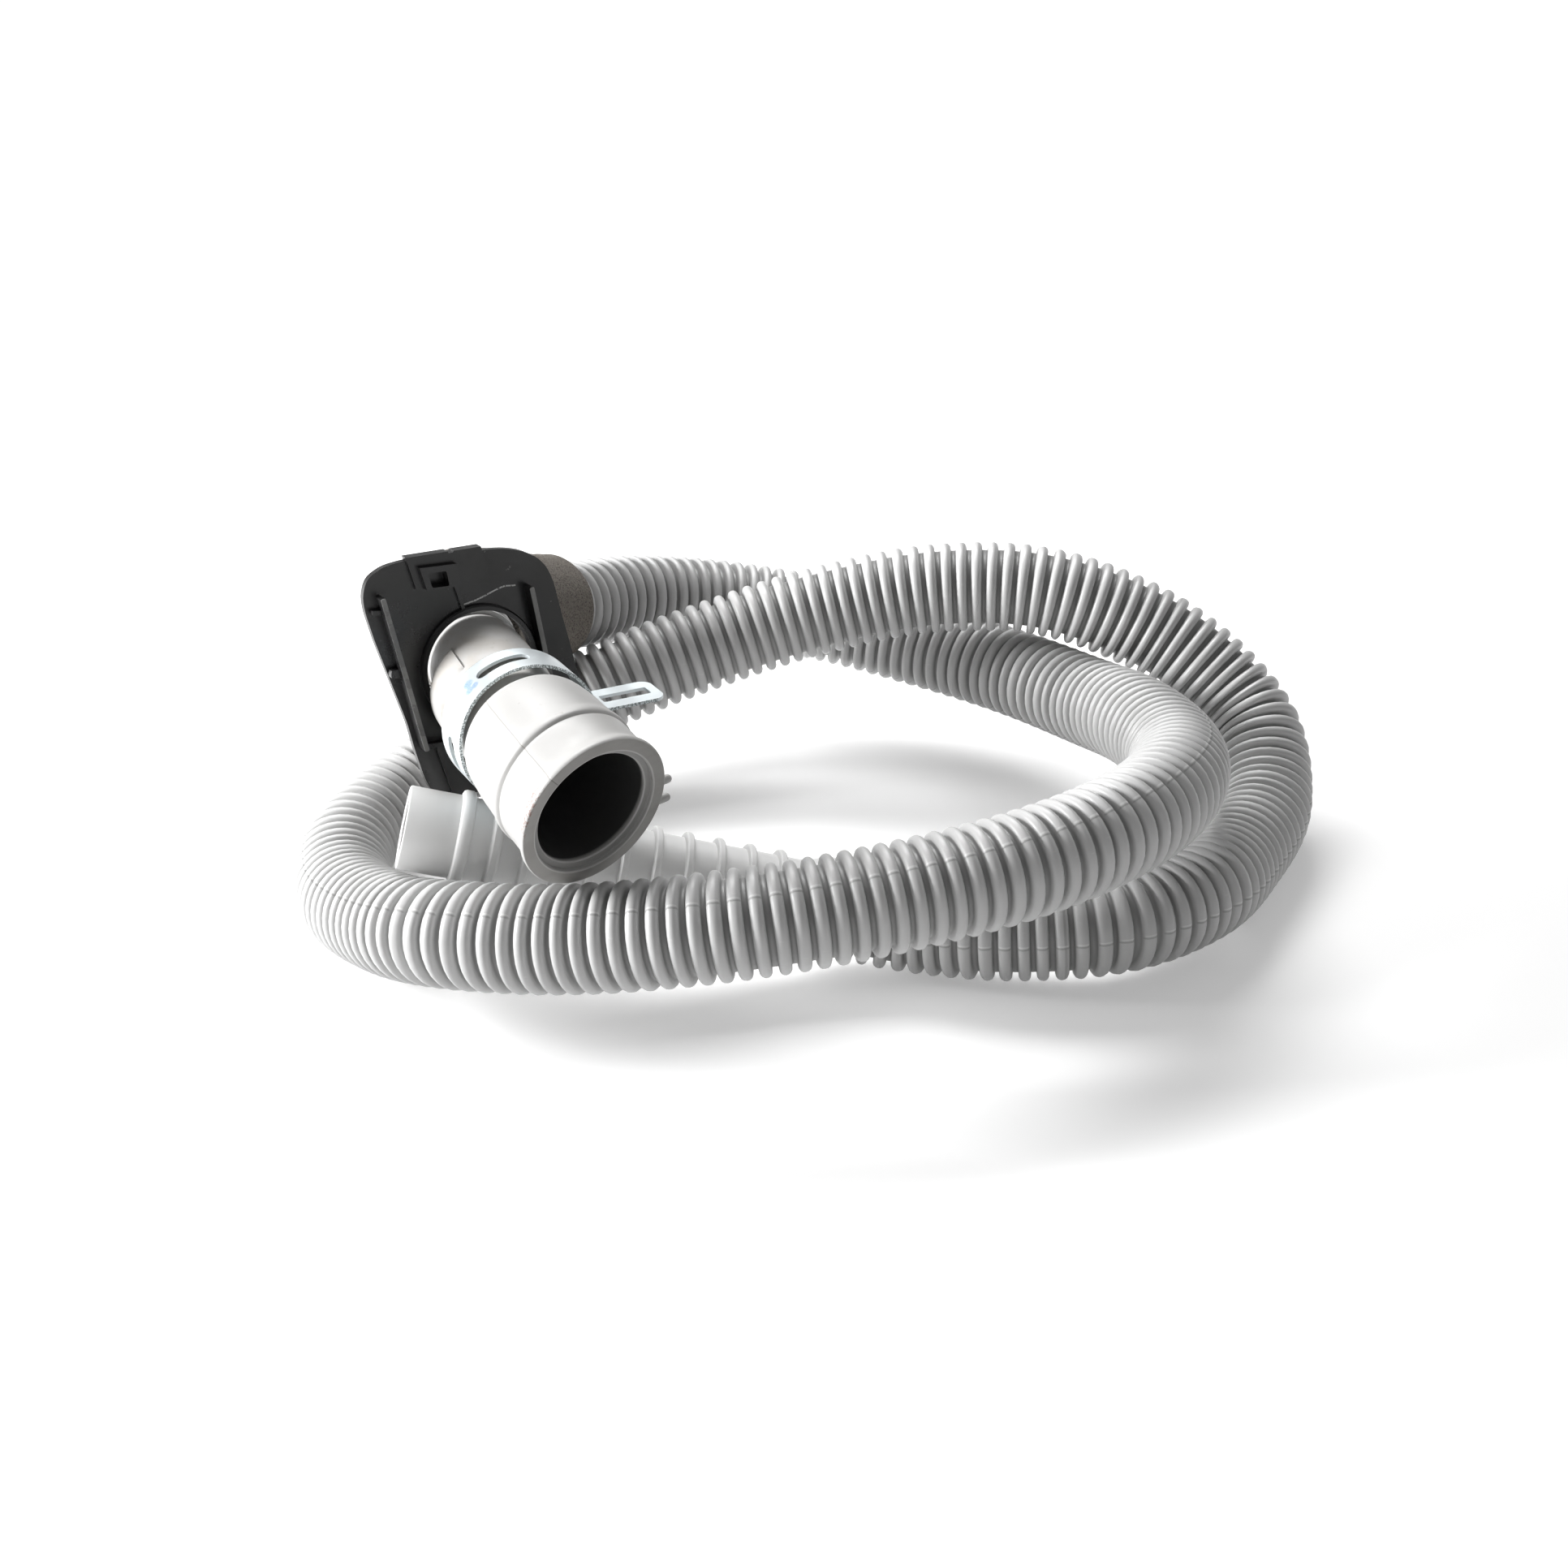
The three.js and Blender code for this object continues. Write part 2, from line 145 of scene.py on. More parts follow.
def shadeByAngle(piece, degrees):
    mesh = piece.data
    bm = bmesh.new()
    bm.from_mesh(mesh)
    bmesh.ops.remove_doubles(bm, verts=bm.verts, dist=weldGap)
    bmesh.ops.dissolve_degenerate(bm, dist=weldGap, edges=bm.edges)
    for edge in bm.edges:
        edge.smooth = edge.is_manifold and edge.calc_face_angle(math.pi) < math.radians(degrees)
    for face in bm.faces:
        face.smooth = True
    bm.to_mesh(mesh)
    bm.free()
    return piece


def joinPieces(name, pieces):
    bm = bmesh.new()
    for piece in pieces:
        bm.from_mesh(piece.data)
        bpy.data.objects.remove(piece)
    mesh = bpy.data.meshes.new(name)
    bm.to_mesh(mesh)
    bm.free()
    return newPiece(name, mesh)


def softStep(low, high, x):
    t = min(1, max(0, (x - low) / (high - low)))
    return t * t * (3 - 2 * t)


cameraLook = {  # fitted to the photo; place and clipStart in metres, sensor and lens in mm
    "place": (-0.010205, -0.597057, 0.321095), "downDegrees": 25.9, "sensor": 36, "lens": 52.17,
    "clipStart": 0.01,
}

cameraData = bpy.data.cameras.new("photoCamera")
cameraData.sensor_width = cameraLook["sensor"]
cameraData.lens = cameraLook["lens"]
cameraData.clip_start = cameraLook["clipStart"]
camera = newPiece("photoCamera", cameraData)
camera.location = cameraLook["place"]
camera.rotation_euler = (math.radians(90 - cameraLook["downDegrees"]), 0, 0)
bpy.context.scene.camera = camera
print("camera set")

# places and lengths in mm, as in the CAD
mouthHeading, bodyHeading, neckHeading = heading(41, -14), heading(31.7, -9.9), heading(25, -6.5)
bandHeading, plateHeading = heading(27.3, 1.5), heading(30, 5)
bodyLength = 39
bandFromShoulder = Vector((-1.8, 7.9, -2.4))
backOfShoulder = {"spigotEnd": 4.2, "plate": 38, "hoseStart": 44, "hoseLead": 51}
coneLead, coneRun = 8, 30  # knots of the middle line before and after the cone's start
mouthCentre = Vector((-56.1, -102.7, 73.4))
shoulder = mouthCentre - bodyHeading * bodyLength
bandCentre = shoulder + bandFromShoulder
plateCentre = shoulder - neckHeading * backOfShoulder["plate"]
coneStart = Vector((2.2, -53.5, 20))
cuffMouth = Vector((-110.3, -65, 50.2))

hoseRoute = [
    (-102.3, 0, 85.5), (-97.8, 33.5, 74), (-83.8, 65.5, 60.5), (-63.3, 92, 53.5), (-35.3, 107.5, 46.5),
    (-0.8, 111, 39.5), (34.2, 100.5, 34), (63.7, 80, 32.5), (84.2, 51.5, 35), (95.7, 19, 42),
    (100.7, -16, 47.5), (93.7, -48.5, 53.5), (75.7, -76.5, 56), (49.2, -95.5, 55), (12.2, -107, 51),
    (-25.3, -111.5, 46.5), (-63.8, -105.5, 39.5), (-96.3, -92.5, 33.5), (-117.8, -66.5, 23),
    (-133.8, -35, 15), (-137.3, -2, 14), (-125.3, 31, 15.5), (-98.3, 48.5, 24.5), (-65.8, 60.5, 36.5),
    (-32.3, 70.5, 46.5), (2.7, 76, 56), (39.2, 76.5, 63), (75.2, 72.5, 62.5), (111.7, 64.5, 49),
    (135.2, 47.5, 29.5), (135.7, 20.5, 16.1), (120.2, -15, 14.4), (103.7, -43.5, 18), (79.7, -60.5, 19),
    (49.2, -61, 17), (23.2, -54.5, 16),
]
spigotEnd = shoulder - neckHeading * backOfShoulder["spigotEnd"]
hoseStart = shoulder - neckHeading * backOfShoulder["hoseStart"]
hoseLead = shoulder - neckHeading * backOfShoulder["hoseLead"]
towardMouth = (cuffMouth - coneStart).normalized()


def smoothLine(knots, first, last, perSpan):  # centripetal curve through the knots first..last
    out = []
    for i in range(first, last):
        p0 = knots[i - 1] if i else knots[0] * 2 - knots[1]
        p1, p2 = knots[i], knots[i + 1]
        p3 = knots[i + 2] if i + 2 < len(knots) else knots[-1] * 2 - knots[-2]
        d0, d1, d2 = (max((b - a).length ** 0.5, 1e-4) for a, b in ((p0, p1), (p1, p2), (p2, p3)))
        m1 = ((p1 - p0) / d0 - (p2 - p0) / (d0 + d1) + (p2 - p1) / d1) * d1
        m2 = ((p2 - p1) / d1 - (p3 - p1) / (d1 + d2) + (p3 - p2) / d2) * d1
        for k in range(perSpan):
            w = k / perSpan
            bend = (p1 * -3 + p2 * 3 - m1 * 2 - m2) * w * w
            out.append(p1 + m1 * w + bend + (p1 * 2 - p2 * 2 + m1 + m2) * w ** 3)
    return out + [knots[last].copy()]


lineSteps = 10  # points from one knot to the next
lineKnots = [spigotEnd, hoseStart, hoseLead] + [Vector(p) for p in hoseRoute]
lineKnots += [coneStart - towardMouth * coneLead, coneStart, coneStart + towardMouth * coneRun, cuffMouth]
hoseLine = smoothLine(lineKnots, 1, len(lineKnots) - 3, lineSteps)


class Flow:  # a node's output, used in sums like a number
    def __init__(self, bench, socket):
        self.bench, self.socket = bench, socket

    def __add__(self, other): return self.bench.reckon("ADD", self, other)
    def __sub__(self, other): return self.bench.reckon("SUBTRACT", self, other)
    def __rsub__(self, other): return self.bench.reckon("SUBTRACT", other, self)
    def __mul__(self, other): return self.bench.reckon("MULTIPLY", self, other)
    def __truediv__(self, other): return self.bench.reckon("DIVIDE", self, other)
    def __pow__(self, other): return self.bench.reckon("POWER", self, other)
    def __gt__(self, other): return self.bench.reckon("GREATER_THAN", self, other)
    def __lt__(self, other): return self.bench.reckon("LESS_THAN", self, other)
    def __abs__(self): return self.bench.reckon("ABSOLUTE", self)


class Bench:  # puts nodes in a tree; a value that is a Flow is linked
    def __init__(self, tree):
        self.tree = tree

    def put(self, kind, settings=None, sockets=None, give=0):
        node = self.tree.nodes.new(kind)
        for name, value in (settings or {}).items():
            setattr(node, name, value)
        for key, value in (sockets or {}).items():
            if isinstance(value, Flow):
                self.tree.links.new(value.socket, node.inputs[key])
            else:
                node.inputs[key].default_value = value
        return Flow(self, node.outputs[give])

    def reckon(self, operation, a, b=0.0):
        return self.put("ShaderNodeMath", {"operation": operation}, {0: a, 1: b})

    def mix(self, mask, a, b):
        a, b = (c if isinstance(c, Flow) or len(c) == 4 else (*c, 1) for c in (a, b))
        return self.put("ShaderNodeMix", {"data_type": "RGBA"}, {0: mask, 6: a, 7: b}, 2)

    def vector(self, operation, a, b=(0, 0, 0), give=0):
        return self.put("ShaderNodeVectorMath", {"operation": operation}, {0: a, 1: b}, give)

    def ramp(self, value, low, high, outLow=0.0, outHigh=1.0):  # smooth step between two values
        sockets = {0: value, 1: low, 2: high, 3: outLow, 4: outHigh}
        return self.put("ShaderNodeMapRange", {"interpolation_type": "SMOOTHSTEP"}, sockets)

    def line(self, value, centre, core, edge):  # 1 within core of a centre, fading to 0 at the edge
        return self.ramp(abs(value - centre), core, edge, 1.0, 0.0)

    def noise(self, where, scale, detail=3.0):
        sockets = {"Vector": where, "Scale": scale, "Detail": detail, "Roughness": 0.55}
        return self.put("ShaderNodeTexNoise", {}, sockets)

    def bump(self, strength, distance, height):
        sockets = {"Strength": strength, "Distance": distance, "Height": height}
        return self.put("ShaderNodeBump", {}, sockets)


def finish(name, build):  # one material; build returns what goes into the shader's inputs
    material = bpy.data.materials.new(name)
    material.use_nodes = True
    tree = material.node_tree
    tree.nodes.clear()
    bench = Bench(tree)
    shader = tree.nodes.new("ShaderNodeBsdfPrincipled")
    out = tree.nodes.new("ShaderNodeOutputMaterial")
    tree.links.new(shader.outputs[0], out.inputs[0])
    where = bench.put("ShaderNodeTexCoord", give=3)
    for key, value in build(bench, where).items():
        if isinstance(value, Flow):
            tree.links.new(value.socket, shader.inputs[key])
        else:
            shader.inputs[key].default_value = value
    return material


def spot(bench, where, place, inner, outer):  # 1 at a place given in mm, fading to 0 at the outer radius
    gap = bench.vector("DISTANCE", where, tuple(Vector(place) * mm), 1)
    return bench.ramp(gap, inner * mm, outer * mm, 1.0, 0.0)


def along(bench, where, origin, axis):  # signed mm along an axis from an origin
    return bench.vector("DOT_PRODUCT", where, tuple(axis), 1) * 1000 - origin.dot(axis)


hoseLook = {
    "crestRadius": 14.0, "rootRadius": 11.5, "ringPitch": 4.7, "crestShare": 0.7, "crestPower": 0.62,
    "samplesPerRing": 10, "sides": 32,
    # the valley colour is painted shade for the hollows between the rings
    "grey": (0.51, 0.51, 0.508), "valleyShadeGrey": (0.27, 0.27, 0.268), "paleGrey": (0.6, 0.6, 0.595),
    "cuffGrey": (0.74, 0.74, 0.735), "rubbed": (0.62, 0.62, 0.61), "joint": (0.24, 0.24, 0.237),
    "parting": (0.25, 0.25, 0.247), "glint": (0.75, 0.75, 0.74),
    "jointEvery": 0.188, "plainBelow": 0.00001,  # metres along the hose; the plain ends hold 0
    "partingAt": 0.41, "glintAt": 0.425,  # share of half a turn round the hose
}


def hoseFinish(bench, where):
    look = hoseLook
    travel, around, depth = (
        bench.put("ShaderNodeAttribute", {"attribute_name": name}, give=2)
        for name in ("alongHose", "aroundHose", "ringHeight"))
    cloud = bench.noise(where, 26.0, 4.0)
    grain = bench.noise(where, 900.0, 2.0)
    streak = bench.noise(bench.vector("MULTIPLY", where, (1, 1, 6)), 140.0, 3.0)
    # painted shade: the valleys between the rings are painted darker than the crests
    base = bench.mix(bench.ramp(depth, 0.05, 0.6), look["valleyShadeGrey"], look["grey"])
    base = bench.mix(bench.ramp(cloud, 0.45, 0.75) * 0.35, base, look["paleGrey"])
    rub = bench.ramp(streak, 0.66, 0.74) * bench.ramp(depth, 0.75, 0.98) * 0.4
    base = bench.mix(rub, base, look["rubbed"])
    fromJoint = abs(bench.reckon("FRACT", travel / look["jointEvery"]) - 0.5) * look["jointEvery"]
    joint = bench.ramp(fromJoint, 0.0001, 0.0004, 1.0, 0.0)
    base = bench.mix(joint * 0.5, base, look["joint"])
    half = bench.reckon("FRACT", around * 2)
    parting = bench.line(half, look["partingAt"], 0.002, 0.009) * bench.ramp(depth, 0.3, 0.8)
    base = bench.mix(parting * 0.6, base, look["parting"])
    glint = bench.line(half, look["glintAt"], 0.002, 0.008) * bench.ramp(depth, 0.5, 0.9)
    base = bench.mix(glint * 0.5, base, look["glint"])
    base = bench.mix(travel < look["plainBelow"], base, look["cuffGrey"])
    return {
        "Base Color": base,
        "Roughness": bench.ramp(streak + cloud * 0.4, 0.4, 1.0, 0.36, 0.5),
        "Normal": bench.bump(0.25, 0.0003, parting * 0.5 + grain * 0.12 + cloud * 0.25),
    }


def ringTree():
    tree = bpy.data.node_groups.new("hoseRings", "GeometryNodeTree")
    tree.is_modifier = True
    face = tree.interface
    face.new_socket("Line", in_out="INPUT", socket_type="NodeSocketGeometry")
    for name in ("crestRadius", "rootRadius", "ringPitch", "crestShare", "crestPower"):
        face.new_socket(name, in_out="INPUT", socket_type="NodeSocketFloat")
    for name in ("samplesPerRing", "sides"):
        face.new_socket(name, in_out="INPUT", socket_type="NodeSocketInt")
    face.new_socket("finish", in_out="INPUT", socket_type="NodeSocketMaterial")
    face.new_socket("Hose", in_out="OUTPUT", socket_type="NodeSocketGeometry")
    bench = Bench(tree)
    given = tree.nodes.new("NodeGroupInput")
    ask = {s.name: Flow(bench, s) for s in given.outputs}
    reach = bench.put("GeometryNodeCurveLength", {}, {0: ask["Line"]})
    rings = bench.reckon("ROUND", reach / ask["ringPitch"])
    pitch = reach / rings
    even = bench.put("GeometryNodeResampleCurve", {}, {
        "Curve": ask["Line"], "Count": rings * ask["samplesPerRing"]})
    index = bench.put("GeometryNodeInputIndex")
    last = ask["samplesPerRing"] - 2  # samples 0..last go over the crest, one more lies in the valley
    ring = bench.reckon("FLOOR", (index + 0.01) / ask["samplesPerRing"])
    step = index - ring * ask["samplesPerRing"]
    turn = bench.reckon("MINIMUM", step, last) / last * math.pi
    aside = bench.reckon("COSINE", turn) * -0.5 * ask["crestShare"]
    inValley = step > (last + 0.5)
    travel = (ring + 0.5 + aside * (1 - inValley) + inValley * 0.5) * pitch
    rise = bench.reckon("MAXIMUM", bench.reckon("SINE", turn), 0.0)
    bump = bench.reckon("POWER", rise, ask["crestPower"]) * (1 - inValley)
    radius = ask["rootRadius"] + (ask["crestRadius"] - ask["rootRadius"]) * bump
    sample = tree.nodes.new("GeometryNodeSampleCurve")
    sample.mode = "LENGTH"
    sample.use_all_curves = True
    tree.links.new(ask["Line"].socket, sample.inputs["Curves"])
    tree.links.new(travel.socket, sample.inputs["Length"])
    keep = tree.nodes.new("GeometryNodeCaptureAttribute")
    for name in ("travel", "bump", "radius"):
        keep.capture_items.new("FLOAT", name)
    keep.capture_items.new("VECTOR", "place")
    tree.links.new(even.socket, keep.inputs[0])
    for n, socket in enumerate((travel.socket, bump.socket, radius.socket, sample.outputs["Position"])):
        tree.links.new(socket, keep.inputs[n + 1])
    line, travel, bump, radius, place = (Flow(bench, keep.outputs[n]) for n in range(5))
    line = bench.put("GeometryNodeSetPosition", {}, {"Geometry": line, "Position": place})
    circle = bench.put("GeometryNodeCurvePrimitiveCircle", {}, {"Resolution": ask["sides"], "Radius": 1.0})
    keepRound = tree.nodes.new("GeometryNodeCaptureAttribute")
    keepRound.capture_items.new("FLOAT", "round")
    tree.links.new(circle.socket, keepRound.inputs[0])
    tree.links.new(bench.put("GeometryNodeSplineParameter").socket, keepRound.inputs[1])
    profile, around = (Flow(bench, keepRound.outputs[n]) for n in range(2))
    result = bench.put("GeometryNodeCurveToMesh", {}, {
        "Curve": line, "Profile Curve": profile, "Scale": radius, "Fill Caps": True})
    for name, value in (("alongHose", travel), ("ringHeight", bump), ("aroundHose", around)):
        result = bench.put("GeometryNodeStoreNamedAttribute", {"data_type": "FLOAT", "domain": "POINT"},
                           {"Geometry": result, "Name": name, "Value": value})
    result = bench.put("GeometryNodeRealizeInstances", {}, {"Geometry": result})
    result = bench.put("GeometryNodeSetMaterial", {}, {"Geometry": result, "Material": ask["finish"]})
    out = tree.nodes.new("NodeGroupOutput")
    tree.links.new(result.socket, out.inputs[0])
    return tree


def runTree(piece, tree, values):  # plain mesh from a node tree, with the modifier gone
    mod = piece.modifiers.new("tree", "NODES")
    mod.node_group = tree
    for item in tree.interface.items_tree:
        if item.in_out == "INPUT" and item.name in values:
            mod[item.identifier] = values[item.name]
    bpy.context.view_layer.update()
    mesh = bpy.data.meshes.new_from_object(piece.evaluated_get(bpy.context.evaluated_depsgraph_get()))
    piece.modifiers.clear()
    bpy.data.objects.remove(piece)
    return mesh


hoseMaterial = finish("hosePlastic", hoseFinish)
lineData = bpy.data.curves.new("hoseLine", "CURVE")
lineData.dimensions = "3D"
spline = lineData.splines.new("POLY")
spline.points.add(len(hoseLine) - 1)
for point, place in zip(spline.points, hoseLine):
    point.co = (*(place * mm), 1)
hoseMesh = runTree(newPiece("hoseLine", lineData), ringTree(), {
    **{name: hoseLook[name] * mm for name in ("crestRadius", "rootRadius", "ringPitch")},
    **{name: hoseLook[name] for name in ("crestShare", "crestPower", "samplesPerRing", "sides")},
    "finish": hoseMaterial,
})
print("corrugated hose:", len(hoseMesh.polygons), "faces")

endLook = {
    "tubeRadius": 11.2, "boreRadius": 9.3, "ringRadius": 12.8, "ringWidth": 2.5, "ringPitch": 8.6,
    "firstRing": 14.9, "rings": 11, "wideBy": (1.3, 0.9, 0.4), "coneLength": 5.5, "coneRadius": 13.45,
    "overlap": 1.2, "sides": 56, "shadeDegrees": 28,
    "ringShape": (  # share of the ring's width, share of its height
        (-0.5, 0), (-0.47, 0.35), (-0.38, 0.8), (-0.22, 1), (0.22, 1), (0.38, 0.8), (0.47, 0.35), (0.5, 0)),
}
spigotLook = {
    "outline": (
        (0, 9.3), (0, 10.4), (-0.4, 10.7), (-39.2, 10.7), (-39.2, 13.6), (-39.7, 13.6), (-41, 10.7),
        (-41, 4), (-36, 9.3)),
    "sides": 48,
}


def dischargeOutline():  # from the cuff's mouth to the cone, then back through the bore
    e = endLook
    tube, bore, cone = e["tubeRadius"], e["boreRadius"], e["coneRadius"]
    length = (coneStart - cuffMouth).length
    out = [(0, tube - 0.45), (0.12, tube - 0.15), (0.45, tube)]
    for i in range(e["rings"]):
        wide = e["ringWidth"] + (e["wideBy"][i] if i < len(e["wideBy"]) else 0)
        mid = e["firstRing"] + i * e["ringPitch"] + (wide / 2 - e["ringWidth"] / 2)
        for share, lift in e["ringShape"]:
            out.append((mid + share * wide, tube + (e["ringRadius"] - tube) * lift))
    top, end = length - e["coneLength"] - 3, length + e["overlap"]
    out += [(top - 1, tube), (top, tube + 0.15), (length - 3.4, cone - 0.25), (length - 2.6, cone)]
    out += [(end, cone), (end, 6), (length - 2, bore), (0.4, bore), (0, bore + 0.35)]
    return out


endFrame = frameAlong(cuffMouth, coneStart - cuffMouth)
discharge = solid(turnedPoints(dischargeOutline(), endLook["sides"]), endFrame, "dischargeEnd")
spigotFrame = frameAlong(spigotEnd, neckHeading)
spigot = solid(turnedPoints(spigotLook["outline"], spigotLook["sides"]), spigotFrame, "spigot")
hose = newPiece("hoseBody", hoseMesh)
for polygon in hoseMesh.polygons:
    polygon.use_smooth = True
plainEnd = {"alongHose": 0.0, "ringHeight": 0.8, "aroundHose": 0.6}  # the rings' attributes there
for piece in (discharge, spigot):
    shadeByAngle(piece, endLook["shadeDegrees"])
    for name, value in plainEnd.items():
        layer = piece.data.attributes.new(name, "FLOAT", "POINT")
        layer.data.foreach_set("value", [value] * len(piece.data.vertices))
hose = joinPieces("drainHose", [hose, discharge, spigot])
hose.data.materials.append(hoseMaterial)
wholeLine = smoothLine(lineKnots, 0, len(lineKnots) - 3, lineSteps)
wholeLine += [coneStart.lerp(cuffMouth, k / 8) for k in range(1, 9)]
wholeLine = [p * mm for p in wholeLine]
wholeLength = sum((b - a).length for a, b in zip(wholeLine, wholeLine[1:]))
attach(hose, "root")
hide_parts(*[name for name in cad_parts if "hose" in name or name == "discharge_end"])
print("hose done, length", round(wholeLength, 3))

bootLook = {
    "sides": 112, "throatSides": 64, "shadeDegrees": 32,
    "body": (
        (0, 0), (0, 20.75), (-0.12, 21.0), (-0.4, 21.15), (-0.9, 21.2), (-1.5, 21.15), (-2.3, 20.85),
        (-3.4, 20.4), (-4.8, 20.05), (-6.5, 19.9), (-13.2, 19.8), (-14.3, 19.75), (-14.6, 19.6),
        (-14.85, 19.75), (-15.2, 20.1), (-15.8, 20.28), (-16.4, 20.3), (-17.4, 20.2), (-18.4, 19.95),
        (-19.6, 19.7), (-21, 19.6), (-28, 19.2), (-34, 18.5), (-36, 18.1), (-37.3, 17.6), (-38.3, 16.8),
        (-38.9, 15.9), (-39, 15.5), (-39, 0)),
    "neck": (
        (3, 0), (3, 13.6), (-15.6, 13.6), (-16, 13.65), (-16.5, 13.85), (-17.2, 14.0), (-18, 13.95),
        (-22, 13.85), (-26, 13.95), (-32, 13.8), (-35, 13.6), (-40, 13.2), (-42, 12.6), (-43.2, 12.2),
        (-43.2, 0)),
    "pad": (
        (4, 0), (4, 16.4), (-18.5, 16.4), (-19.2, 16.6), (-20, 17.1), (-20.6, 17.2), (-29, 17.2),
        (-30.2, 16.9), (-31.1, 16.1), (-31.5, 15.1), (-31.5, 0)),
    "chamber": (
        (1, 0), (1, 17.7), (0, 17.7), (-0.25, 17.45), (-1.3, 17.4), (-1.55, 17.2), (-1.75, 16.0),
        (-2.1, 15.7), (-20, 15.2), (-33.5, 14.6), (-34.4, 13.8), (-35, 11), (-35, 0)),
    "throat": ((8, 0), (8, 11), (-44, 11), (-44, 0)),
    "padShift": (1.2, -2.6, 0),
    "padEdges": ((133, -60, 0), (250, 0, 60)),  # degrees round the neck, sides cut away in mm
    "nibs": (((18.6, -0.8, -6), (24.4, -0.2, -6)), ((18.6, -6.4, -6), (24.4, -5.8, -6))),
    "nibRadius": 1.15, "nibFoot": 1.3, "nibSides": 20,
    "rubber": (0.47, 0.466, 0.458), "worn": (0.43, 0.424, 0.412), "neckDust": (0.4, 0.37, 0.33),
    "speck": (0.25, 0.22, 0.19), "seam": (0.3, 0.285, 0.265), "seamCut": (0.1, 0.096, 0.09),
    "rim": (0.31, 0.302, 0.29), "rimStain": (0.25, 0.24, 0.225), "rust": (0.2, 0.075, 0.05),
    # the lip colour is a painted highlight on the edges of the mouth's inner step
    "ink": (0.45, 0.38, 0.66), "ledge": (0.3, 0.296, 0.29), "lipHighlight": (0.52, 0.515, 0.505),
    # the inside colour is painted shade deep in the bore
    "boreShade": (0.045, 0.045, 0.045), "seamTurn": 2.31,  # radians from the right, over the top
}
bodyFrame, neckFrame = frameAlong(mouthCentre, bodyHeading), frameAlong(shoulder, neckHeading)


def leaned(shape):  # the body leans over evenly towards the mouth, which faces aside
    right, up, ahead = (mouthHeading.dot(axis) for axis in axesOf(bodyFrame))
    points = []
    for x, y, z in shape[0]:
        share = min(1, max(0, 1 + z / bodyLength))
        points.append((x, y, z + (x * (-right / ahead) + y * (-up / ahead)) * share))
    return points, shape[1]


def buildBoot():
    look = bootLook
    names = ("body", "neck", "pad", "chamber")
    body, neck, pad, chamber = (turnedPoints(look[name], look["sides"]) for name in names)
    boot = solid(leaned(body), bodyFrame, "pumpBoot")
    padFrame = neckFrame @ Matrix.Translation(look["padShift"])
    extra = [solid(neck, neckFrame, "neck"), solid(pad, padFrame, "pad")]
    for turn, low, high in look["padEdges"]:
        wedge = slabPoints([(-40, low), (40, low), (40, high), (-40, high)], -50, 10)
        turned = neckFrame @ Matrix.Rotation(math.radians(turn), 4, "Z")
        combine(extra[1], [solid(wedge, turned, "wedge")], "DIFFERENCE")
    radius = look["nibRadius"]
    for foot, tip in look["nibs"]:
        foot, tip = Vector(foot), Vector(tip)
        reach = (tip - foot).length
        outline = [(0, 0), (0, look["nibFoot"])]
        for a in (math.radians(degrees) for degrees in (0, 25, 50, 72)):
            outline.append((reach - 1.1 + radius * math.sin(a), radius * math.cos(a)))
        nib = turnedPoints(outline + [(reach + 0.02, 0)], look["nibSides"])
        extra.append(solid(nib, bodyFrame @ frameAlong(foot, tip - foot), "nib"))
    combine(boot, extra, "UNION")
    throat = turnedPoints(look["throat"], look["throatSides"])
    hollows = [solid(leaned(chamber), bodyFrame, "chamber"), solid(throat, neckFrame, "throat")]
    return combine(boot, hollows, "DIFFERENCE")


